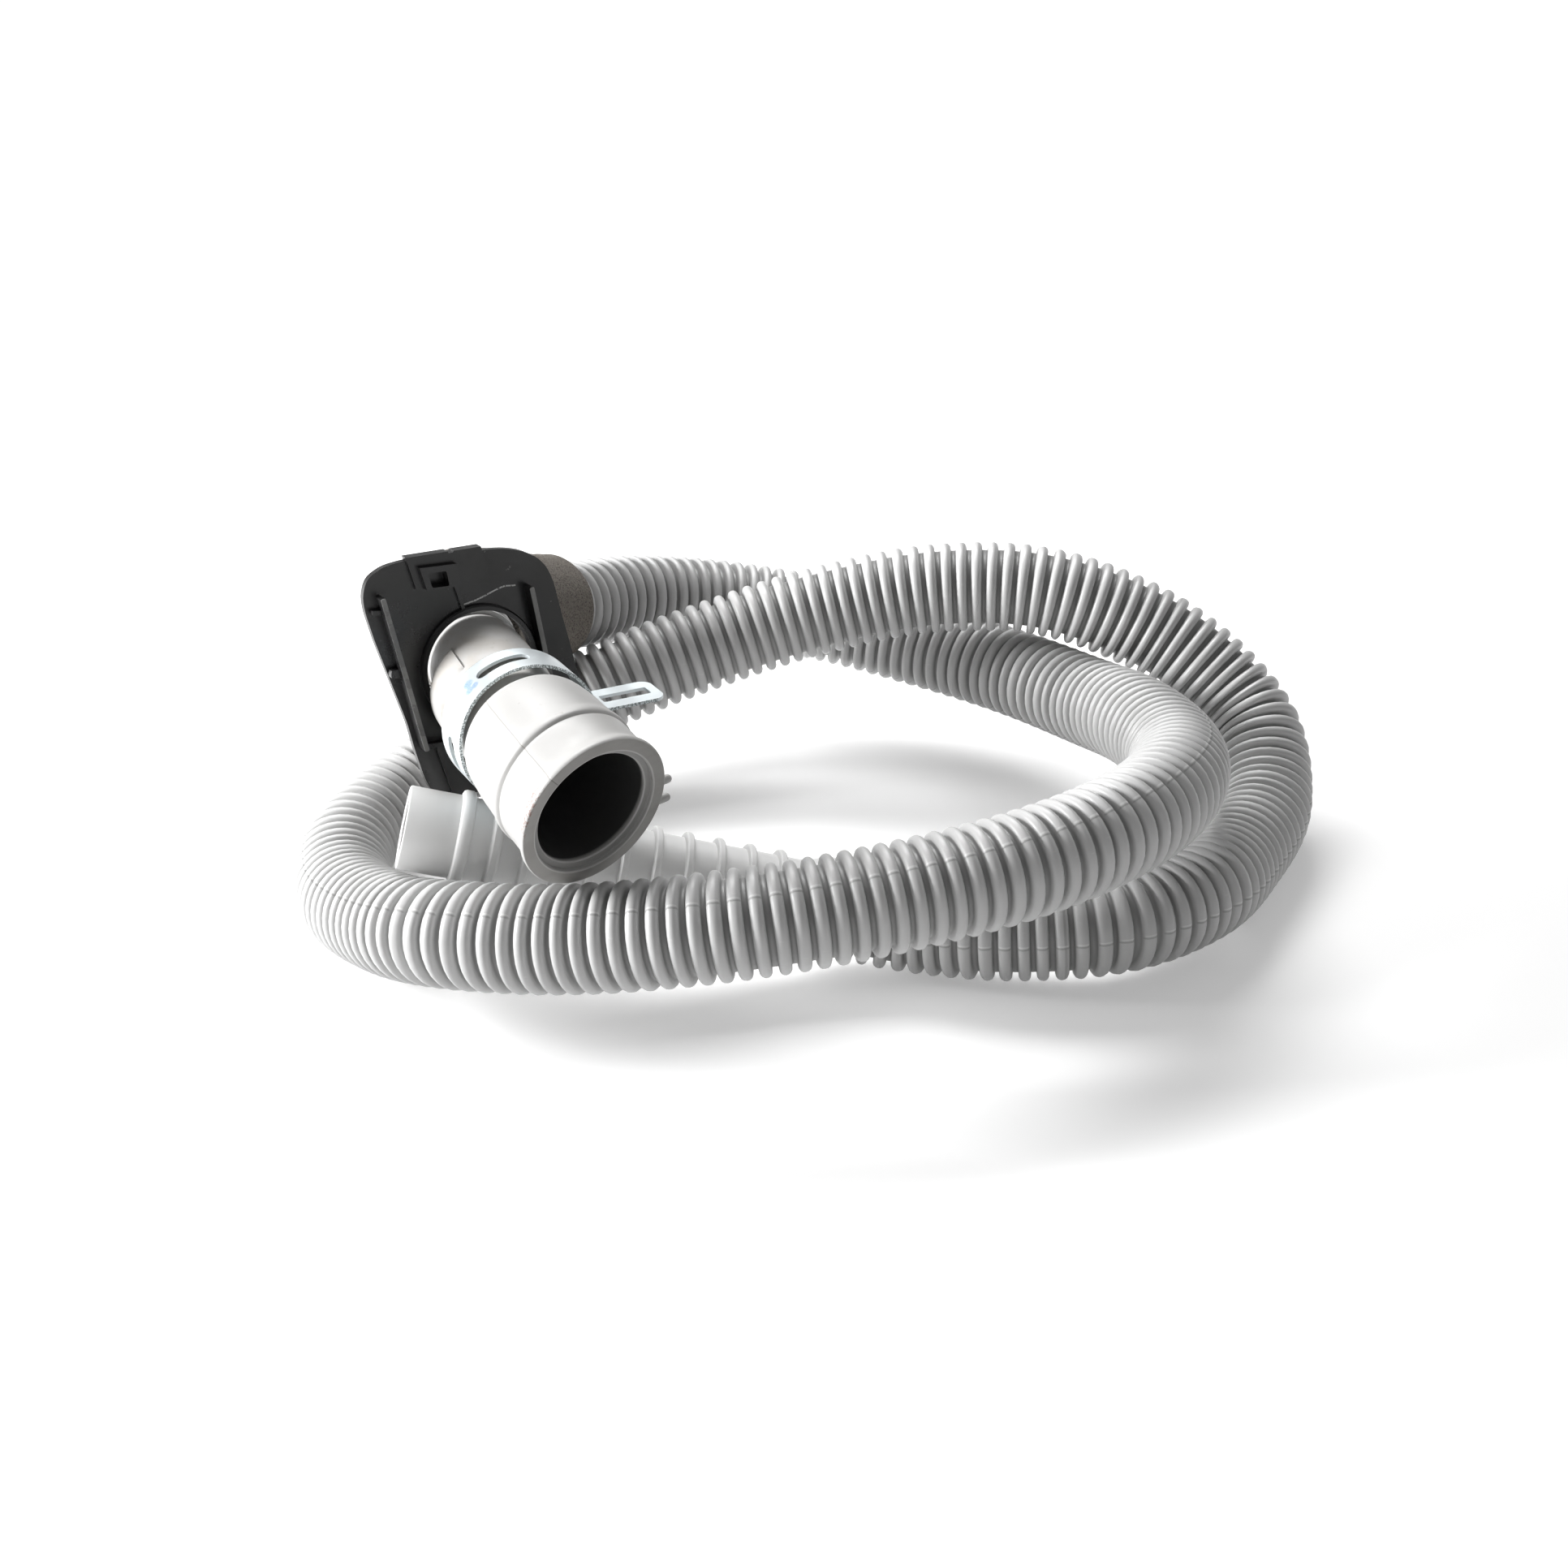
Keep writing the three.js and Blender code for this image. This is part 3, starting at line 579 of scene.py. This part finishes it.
def bootFinish(bench, where):
    look = bootLook
    toRight, toTop, _ = axesOf(bodyFrame)
    mouthRight, mouthTop, _ = axesOf(frameAlong(mouthCentre, mouthHeading))
    s = along(bench, where, mouthCentre, bodyHeading)
    face = along(bench, where, mouthCentre, mouthHeading)
    right, up = along(bench, where, mouthCentre, toRight), along(bench, where, mouthCentre, toTop)
    r = (right * right + up * up) ** 0.5
    turn = bench.reckon("ARCTAN2", up, right)
    cloud = bench.noise(where, 55.0, 5.0)
    fine = bench.noise(where, 1400.0, 2.0)
    smear = bench.noise(bench.vector("MULTIPLY", where, (1, 1, 2.4)), 90.0, 5.0)
    base = bench.mix(bench.ramp(cloud, 0.35, 0.7) * 0.5, look["rubber"], look["worn"])
    neckPart = bench.ramp(s, -40.5, -38.6, 1.0, 0.0)
    base = bench.mix(neckPart * bench.ramp(smear, 0.42, 0.68) * 0.6, base, look["neckDust"])
    specks = bench.ramp(bench.noise(where, 420.0, 2.0), 0.68, 0.73)
    base = bench.mix(specks * 0.35 * bench.ramp(cloud, 0.4, 0.6), base, look["speck"])
    seam = bench.ramp(abs(turn - look["seamTurn"]) * r, 0.06, 0.22, 1.0, 0.0) * (s > -39.5)
    base = bench.mix(seam * 0.7, base, look["seam"])
    rim = bench.ramp(face, -0.3, -0.1) * bench.ramp(r, 20.8, 21.05, 1.0, 0.0)
    rimTone = bench.mix(bench.ramp(smear, 0.4, 0.7) * 0.4, look["rim"], look["rimStain"])
    base = bench.mix(rim, base, rimTone)
    base = bench.mix(seam * rim * 0.6, base, look["seamCut"])
    rustSpot = spot(bench, where, mouthCentre - mouthRight * 19.8 + mouthTop * 6.8, 4, 9)
    rust = bench.ramp(fine, 0.5, 0.6) * rustSpot * (r > 20.5)
    base = bench.mix(rust * 0.6, base, look["rust"])
    ink = spot(bench, where, mouthCentre - bodyHeading * 21.2 - toRight * 14.6 + toTop * 13.1, 1.2, 2.3)
    base = bench.mix(ink * 0.4, base, look["ink"])
    ledge = (face < -1.2) * (face > -2.4) * (r > 15.65) * (r < 17.42)
    base = bench.mix(ledge, base, look["ledge"])
    # painted highlight: thin light rings on the two edges of the mouth's inner step
    outerLipHighlight = bench.line(r, 17.7, 0.1, 0.3) * (face > -0.5)
    innerLipHighlight = bench.line(r, 15.8, 0.1, 0.3) * (face > -2.4)
    base = bench.mix(bench.reckon("MAXIMUM", outerLipHighlight, innerLipHighlight) * 0.8, base, look["lipHighlight"])
    # painted shade: the bore inside the mouth is painted near black
    boreShade = bench.ramp(face, -3.6, -2.2, 1.0, 0.0) * bench.ramp(r, 15.9, 16.2, 1.0, 0.0) * (s > -36)
    base = bench.mix(boreShade, base, look["boreShade"])
    return {
        "Base Color": base,
        "Roughness": bench.ramp(smear, 0.35, 0.75, 0.42, 0.58),
        "Normal": bench.bump(0.25, 0.0004, fine * 0.1 + cloud * 0.5 - seam * 0.8),
    }


boot = shadeByAngle(buildBoot(), bootLook["shadeDegrees"])
boot.data.materials.clear()
boot.data.materials.append(finish("bootRubber", bootFinish))
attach(boot, "root")
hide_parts("pump_boot")
print("boot done")

bandLook = {
    "outer": 19.3, "thick": 0.85, "width": 13.2, "slotWidth": 3.9,
    "slots": ((80, 125), (176, 206), (262, 296)),  # start and end in degrees round the band
    "sides": 128, "slotSteps": 10, "shadeDegrees": 30,
    "tailFoot": 18.6, "tailReach": 38.5, "tailUp": 2.4, "tailCorner": 2, "tailSlot": (22.5, 36.0, 4.5),
    "zinc": (0.72, 0.77, 0.79), "dull": (0.62, 0.69, 0.7), "cutEdge": (0.22, 0.25, 0.25),
    "ink": (0.24, 0.42, 0.85),
    "inkMarks": (  # degrees round the band, mm along it, size
        (133, -1, 2.0), (136, 1.5, 1.8), (130, 1.9, 1.4), (160, 1, 1.9), (167, -0.5, 1.6), (171, 2.4, 1.3)),
}
bandFrame = frameAlong(bandCentre, bandHeading)


def slotCutter(start, end, width):  # slot with round ends, bent to the band; start and end in degrees
    outer, steps, half = bandLook["outer"], bandLook["slotSteps"], width / 2
    bend = half / outer
    a0, a1 = math.radians(start) + bend, math.radians(end) - bend
    edge = []
    for near, far, side in ((a0, a1, 1), (a1, a0, -1)):  # a round end and the straight side after it
        arc = [math.pi * (side * 0.5 + k / 8) for k in range(9)]
        edge += [(near + bend * math.cos(t), half * math.sin(t)) for t in arc]
        edge += [(near + (far - near) * k / steps, -side * half) for k in range(1, steps)]
    n = len(edge)
    points = [(r * math.cos(a), r * math.sin(a), z) for r in (outer - 3, outer + 2) for a, z in edge]
    faces = [[i, (i + 1) % n, (i + 1) % n + n, i + n] for i in range(n)]
    faces += [list(range(n))[::-1], list(range(n, 2 * n))]
    mesh = meshFrom("slot", points, faces, bandFrame)
    bm = bmesh.new()
    bm.from_mesh(mesh)
    bmesh.ops.triangulate(bm, faces=[f for f in bm.faces if len(f.verts) > 4], ngon_method="EAR_CLIP")
    bm.to_mesh(mesh)
    bm.free()
    return newPiece("slot", mesh)


def buildBand():
    b = bandLook
    outer, half, thick = b["outer"], b["width"] / 2, b["thick"]
    section = [(-half, outer - thick), (-half, outer), (half, outer), (half, outer - thick)]
    ring = solid(turnedPoints(section, b["sides"]), bandFrame, "bandClamp")
    combine(ring, [slotCutter(*span, b["slotWidth"]) for span in b["slots"]], "DIFFERENCE")
    flat = bandFrame @ Matrix.Rotation(math.radians(-90), 4, "X")
    foot, reach, corner, low = b["tailFoot"], b["tailReach"], b["tailCorner"], b["tailUp"]
    outline = [(foot, -half), (reach - corner, -half), (reach, -half + corner)]
    outline += [(x, -y) for x, y in outline[::-1]]
    outline = outline[:1] + roundCorners(outline, corner)[5:-5] + outline[-1:]  # the foot stays sharp
    tail = solid(slabPoints(outline, low, low + thick), flat, "tail")
    start, end, wide = b["tailSlot"]
    slot = roundCorners([(start, -wide / 2), (end, -wide / 2), (end, wide / 2), (start, wide / 2)], 0.7)
    combine(tail, [solid(slabPoints(slot, low - 1, low + 2), flat, "slot")], "DIFFERENCE")
    return combine(ring, [tail], "UNION")


def bandFinish(bench, where):
    look = bandLook
    toRight, toTop, _ = axesOf(bandFrame)
    cloud = bench.noise(where, 120.0, 4.0)
    grain = bench.noise(where, 2600.0, 2.0)
    z = along(bench, where, bandCentre, bandHeading)
    base = bench.mix(bench.ramp(cloud, 0.4, 0.68) * 0.6, look["zinc"], look["dull"])
    edge = bench.ramp(abs(z), 6.45, 6.55)
    base = bench.mix(edge * bench.ramp(grain, 0.42, 0.55), base, look["cutEdge"])
    for turn, place, size in look["inkMarks"]:
        a = math.radians(turn)
        out = (toRight * math.cos(a) + toTop * math.sin(a)) * look["outer"]
        mark = bandCentre + out + bandHeading * place
        ink = spot(bench, where, mark, size * 0.45, size) * bench.ramp(grain, 0.35, 0.6, 0.5, 1.0)
        base = bench.mix(ink * 0.8, base, look["ink"])
    return {
        "Base Color": base,
        "Metallic": 0.55,
        "Roughness": bench.ramp(cloud, 0.35, 0.7, 0.32, 0.46),
        "Normal": bench.bump(0.2, 0.0002, grain * 0.4 + cloud * 0.6),
    }


band = buildBand()
band.data.materials.clear()
band.data.materials.append(finish("zincSteel", bandFinish))
shadeByAngle(band, bandLook["shadeDegrees"])
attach(band, "root")
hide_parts("band_clamp")
print("band clamp done")

plateLook = {
    "thick": 2.0, "hole": 15.2, "collar": 16.8, "collarUp": 1.6, "sides": 96, "shadeDegrees": 30,
    "bevelWidth": 0.22, "bevelDegrees": 40,
    "outline": (
        (-17.5, 31.9), (5.8, 30.8), (10.4, 30.2), (15, 28.9), (19.3, 26.3), (21.9, 23.2), (23.5, 18.8),
        (25.1, 9.4), (26.8, 0.9), (28.8, -10.7), (31, -25), (30.8, -29.5), (28.6, -33), (24.6, -34.6),
        (-10.8, -36), (-14.8, -35), (-17.2, -32), (-18.5, -28.4), (-20.3, -20.4), (-21.7, -12),
        (-24.9, 0.1), (-28, 11.9), (-29.8, 20.6), (-29.9, 24.8), (-28.2, 29), (-23.6, 31.3)),
    "pad": (
        (-17.6, 32.9), (-6, 32.6), (-5.8, 32.1), (-4.6, 32.1), (-4.4, 32.5), (3.3, 32.3), (4.9, 23.4),
        (-15.7, 24)),
    "box": ((-14.8, 30), (-4.5, 29.4), (-3.6, 23.2), (-13.4, 23.8)),
    "window": ((-12.7, 28.3), (-7.6, 28), (-7.1, 23.9), (-11.9, 24.2)),
    "padUp": 1.2, "boxUp": 3, "windowFloor": 0.2,
    "ribs": (  # start, end, width, height over the front
        ((-25.9, 24.1), (-22.3, 3.4), 1.3, 4.2), ((-22.4, 3.9), (-18.4, -19.4), 1.3, 4.2),
        ((-18.8, -18.8), (18.6, -20.6), 1.3, 2.4), ((15.4, 19.5), (17.8, 0.4), 1.3, 4.2),
        ((17.8, 0.9), (20.6, -20.6), 1.3, 4.2), ((-28.4, 20.2), (-24.9, 19.7), 1.2, 2.0),
        ((-25.4, 3), (-22, 2.6), 2.2, 2.4), ((-4.8, 23.6), (-2.6, 14), 0.9, 1.0),
        ((-14.2, -20), (-11, -34), 1.3, 1.2)),
    "paleLine": ((-2.7, 17.2), (12.5, 19.7)),
    "black": (0.012, 0.012, 0.0125), "worn": (0.03, 0.029, 0.028), "dust": (0.4, 0.4, 0.38),
    # the ridge colour is a painted highlight on the tops of the tall ribs
    "paleLineGrey": (0.5, 0.5, 0.49), "ribTopHighlight": (0.2, 0.2, 0.195),
}
plateFrame = frameAlong(plateCentre, plateHeading)


def barShape(start, end, width, low, high):
    a, b = Vector(start), Vector(end)
    d = (b - a).normalized()
    side = Vector((-d.y, d.x)) * width / 2
    return slabPoints(roundCorners([a - side, b - side, b + side, a + side], width * 0.3, 2), low, high)


def buildPlate():
    p = plateLook
    front, collar = p["thick"] / 2, p["collar"]
    top = front + p["collarUp"]
    base = solid(slabPoints(roundCorners(p["outline"], 2.0, 3), -front, front), plateFrame, "coverPlate")
    section = [(-front, 0), (-front, collar), (top - 0.5, collar - 0.1), (top, collar - 0.5), (top, 0)]
    extra = [
        solid(turnedPoints(section, p["sides"]), plateFrame, "collar"),
        solid(slabPoints(p["pad"], -front + 0.01, front + p["padUp"]), plateFrame, "pad"),
        solid(slabPoints(p["box"], 0, front + p["boxUp"]), plateFrame, "box"),
    ]
    for start, end, width, height in p["ribs"]:
        extra.append(solid(barShape(start, end, width, 0.011, front + height), plateFrame, "rib"))
    plate = combine(base, extra, "UNION")
    hole = turnedPoints([(-6, 0), (-6, p["hole"]), (12, p["hole"]), (12, 0)], p["sides"])
    window = slabPoints(roundCorners(p["window"], 0.5, 2), p["windowFloor"], 12)
    cuts = [solid(hole, plateFrame, "hole"), solid(window, plateFrame, "window")]
    return combine(plate, cuts, "DIFFERENCE")


def plateFinish(bench, where):
    look = plateLook
    toRight, toTop, _ = axesOf(plateFrame)
    right, up = along(bench, where, plateCentre, toRight), along(bench, where, plateCentre, toTop)
    high = along(bench, where, plateCentre, plateHeading)
    cloud = bench.noise(where, 60.0, 5.0)
    dust = bench.ramp(bench.noise(where, 700.0, 2.0), 0.7, 0.76)
    grain = bench.noise(where, 1800.0, 2.0)
    base = bench.mix(bench.ramp(cloud, 0.4, 0.75) * 0.6, look["black"], look["worn"])
    base = bench.mix(dust * 0.3 * bench.ramp(cloud, 0.45, 0.65), base, look["dust"])
    # a thin pale line painted across the plate, bent a little along its run
    a, b = (Vector(end) for end in look["paleLine"])
    d = (b - a).normalized()
    run = (right - a.x) * d.x + (up - a.y) * d.y
    off = (up - a.y) * d.x - (right - a.x) * d.y
    off = off + bench.ramp(run, 3.0, 12.0, 0.0, -0.9) + bench.ramp(run, 12.0, 15.5, 0.0, 0.8)
    paleLine = bench.line(off, 0, 0.12, 0.3) * (run > 0) * (run < (b - a).length) * bench.ramp(grain, 0.3, 0.5)
    base = bench.mix(paleLine, base, look["paleLineGrey"])
    # painted highlight: the tops of the tall ribs at either side are painted lighter
    ribTopHighlight = (high > 4.95) * (abs(right) > 14) * bench.ramp(cloud, 0.35, 0.6, 0.5, 1.0)
    base = bench.mix(ribTopHighlight, base, look["ribTopHighlight"])
    return {
        "Base Color": base,
        "Roughness": bench.ramp(cloud, 0.35, 0.75, 0.26, 0.42),
        "Normal": bench.bump(0.1, 0.0002, grain * 0.2 + cloud * 0.3),
    }


plate = buildPlate()
plate.data.materials.clear()
plate.data.materials.append(finish("platePlastic", plateFinish))
shadeByAngle(plate, plateLook["shadeDegrees"])
bevel = plate.modifiers.new("edge", "BEVEL")
bevel.width = plateLook["bevelWidth"] * mm
bevel.segments = 2
bevel.limit_method = "ANGLE"
bevel.angle_limit = math.radians(plateLook["bevelDegrees"])
bevel.harden_normals = True
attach(plate, "root")
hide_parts("cover_plate")
print("plate done")

foamLook = {
    "inner": 14.35, "outer": 16.7, "sides": 72, "step": 1.1, "shadeDegrees": 50,
    "from": 2.1, "to": 5.05, "fineSteps": 40,  # from and to count the knots of the middle line
    "endDrop": 0.7, "endLength": 1.4, "hoseRoom": 14.6, "leastWall": 0.1,
    "brown": (0.16, 0.143, 0.124), "cell": (0.05, 0.043, 0.036), "pale": (0.26, 0.235, 0.205),
    "cloud": (0.17, 0.155, 0.14),
}


def buildFoam():  # tube along the hose, pressed in where the second turn of hose lies against it
    f = foamLook
    sides, inner = f["sides"], f["inner"]
    first, last = (int((f[name] - 1) * f["fineSteps"]) for name in ("from", "to"))
    stretch = smoothLine(lineKnots, 1, 8, f["fineSteps"])[first:last + 1]
    reach = [0.0]
    for a, b in zip(stretch, stretch[1:]):
        reach.append(reach[-1] + (b - a).length)
    count = int(reach[-1] / f["step"])
    other = smoothLine(lineKnots, 22, 29, 12)
    skin, bore = [], []
    side = None
    k = 0
    for i in range(count + 1):
        want = reach[-1] * i / count
        while k < len(reach) - 2 and reach[k + 1] < want:
            k += 1
        t = (want - reach[k]) / (reach[k + 1] - reach[k])
        centre = stretch[k].lerp(stretch[k + 1], t)
        forward = (stretch[k + 1] - stretch[k]).normalized()
        side = forward.orthogonal() if side is None else side
        side = (side - forward * side.dot(forward)).normalized()
        upward = forward.cross(side)
        nearEnd = min(want, reach[-1] - want)
        radius = f["outer"] - f["endDrop"] * (1 - softStep(0, f["endLength"], nearEnd))
        outerRing, innerRing = [], []
        for a in (math.tau * j / sides for j in range(sides)):
            ray = side * math.cos(a) + upward * math.sin(a)
            wave = 0.12 * math.sin(want * 0.31 + 3 * a) + 0.08 * math.sin(want * 0.9 + 5 * a)
            p = centre + ray * (radius + wave)
            near = min(other, key=lambda q: (q - p).length_squared)
            if (p - near).length < f["hoseRoom"]:
                p = near + (p - near).normalized() * f["hoseRoom"]
                if (p - centre).length < inner + f["leastWall"]:
                    p = centre + (p - centre).normalized() * (inner + f["leastWall"])
            outerRing.append(p)
            innerRing.append(centre + ray * inner)
        skin.append(outerRing)
        bore.append(innerRing)
    rings = skin + bore[::-1]  # out along the skin and back through the bore
    points = [p for ring in rings for p in ring]
    faces = []
    for k in range(len(rings)):
        a, b = k * sides, (k + 1) % len(rings) * sides
        faces += [[a + j, a + (j + 1) % sides, b + (j + 1) % sides, b + j] for j in range(sides)]
    return newPiece("foamSleeve", meshFrom("foamSleeve", points, faces))


def foamFinish(bench, where):
    look = foamLook
    cells = bench.put("ShaderNodeTexVoronoi", {}, {"Vector": where, "Scale": 1500.0})
    cloud = bench.noise(where, 70.0, 4.0)
    grain = bench.noise(where, 1900.0, 3.0)
    base = bench.mix(bench.ramp(cells, 0.1, 0.55), look["cell"], look["brown"])
    base = bench.mix(bench.ramp(grain, 0.5, 0.72) * 0.7, base, look["pale"])
    base = bench.mix(bench.ramp(cloud, 0.4, 0.7) * 0.25, base, look["cloud"])
    return {
        "Base Color": base,
        "Roughness": 0.95,
        "Normal": bench.bump(0.7, 0.0005, cells * 0.6 + grain * 0.8),
    }


foam = buildFoam()
foam.data.materials.append(finish("openFoam", foamFinish))
shadeByAngle(foam, foamLook["shadeDegrees"])
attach(foam, "root")
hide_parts("foam_sleeve")
print("foam done")

stageLook = {
    "floor": (0.8, 0.8, 0.8), "floorHalf": 9000, "floorTop": -0.05, "floorBottom": -20,  # mm
    "nearLift": (0.3, 0.3, 0.3), "farLift": (0.8, 0.8, 0.8), "farBand": (500, 2100),  # band in mm
    "worldStrength": 0.25,
    "lamps": {  # place, aim and size in metres, power in watts
        "backLamp": ((-0.2, 0.75, 1.1), (0, 0, 0), (1.0, 0.5), 17),
        "leftLamp": ((-1.4, -0.05, 0.52), (0, 0, 0.03), (0.45, 0.5), 40),
    },
}


def floorMaterial():  # the lift is seen by the camera and in reflections, and lights nothing
    material = bpy.data.materials.new("paleFloor")
    material.use_nodes = True
    tree = material.node_tree
    tree.nodes.clear()
    bench = Bench(tree)
    plain = bench.put("ShaderNodeBsdfDiffuse", {}, {"Color": (*stageLook["floor"], 1)})
    where = bench.put("ShaderNodeTexCoord", give=3)
    away = bench.vector("LENGTH", where, give=1) * 1000
    lift = bench.mix(bench.ramp(away, *stageLook["farBand"]), stageLook["nearLift"], stageLook["farLift"])
    glow = bench.put("ShaderNodeEmission", {}, {"Color": lift, "Strength": 1.0})
    path = tree.nodes.new("ShaderNodeLightPath")
    seen = Flow(bench, path.outputs["Is Camera Ray"])
    for name in ("Is Glossy Ray", "Is Transmission Ray"):
        seen = bench.reckon("MAXIMUM", seen, Flow(bench, path.outputs[name]))
    none = bench.put("ShaderNodeEmission", {}, {"Strength": 0.0})
    pick = bench.put("ShaderNodeMixShader", {}, {0: seen, 1: none, 2: glow})
    both = bench.put("ShaderNodeAddShader", {}, {0: plain, 1: pick})
    out = tree.nodes.new("ShaderNodeOutputMaterial")
    tree.links.new(both.socket, out.inputs[0])
    return material


edge = stageLook["floorHalf"]
floorOutline = [(-edge, -edge), (edge, -edge), (edge, edge), (-edge, edge)]
floor = solid(slabPoints(floorOutline, stageLook["floorBottom"], stageLook["floorTop"]), None, "floor")
floor.data.materials.append(floorMaterial())

world = bpy.data.worlds.new("studio")
bpy.context.scene.world = world
world.use_nodes = True
world.node_tree.nodes["Background"].inputs[0].default_value = (1, 1, 1, 1)
world.node_tree.nodes["Background"].inputs[1].default_value = stageLook["worldStrength"]


def softLamp(name, place, aim, size, power):
    data = bpy.data.lights.new(name, "AREA")
    data.shape = "RECTANGLE"
    data.size, data.size_y = size
    data.energy = power
    lamp = newPiece(name, data)
    lamp.location = place
    lamp.rotation_euler = (Vector(place) - Vector(aim)).to_track_quat("Z", "Y").to_euler()


for name, values in stageLook["lamps"].items():
    softLamp(name, *values)
bpy.context.scene.view_settings.view_transform = "Standard"
print("stage done")
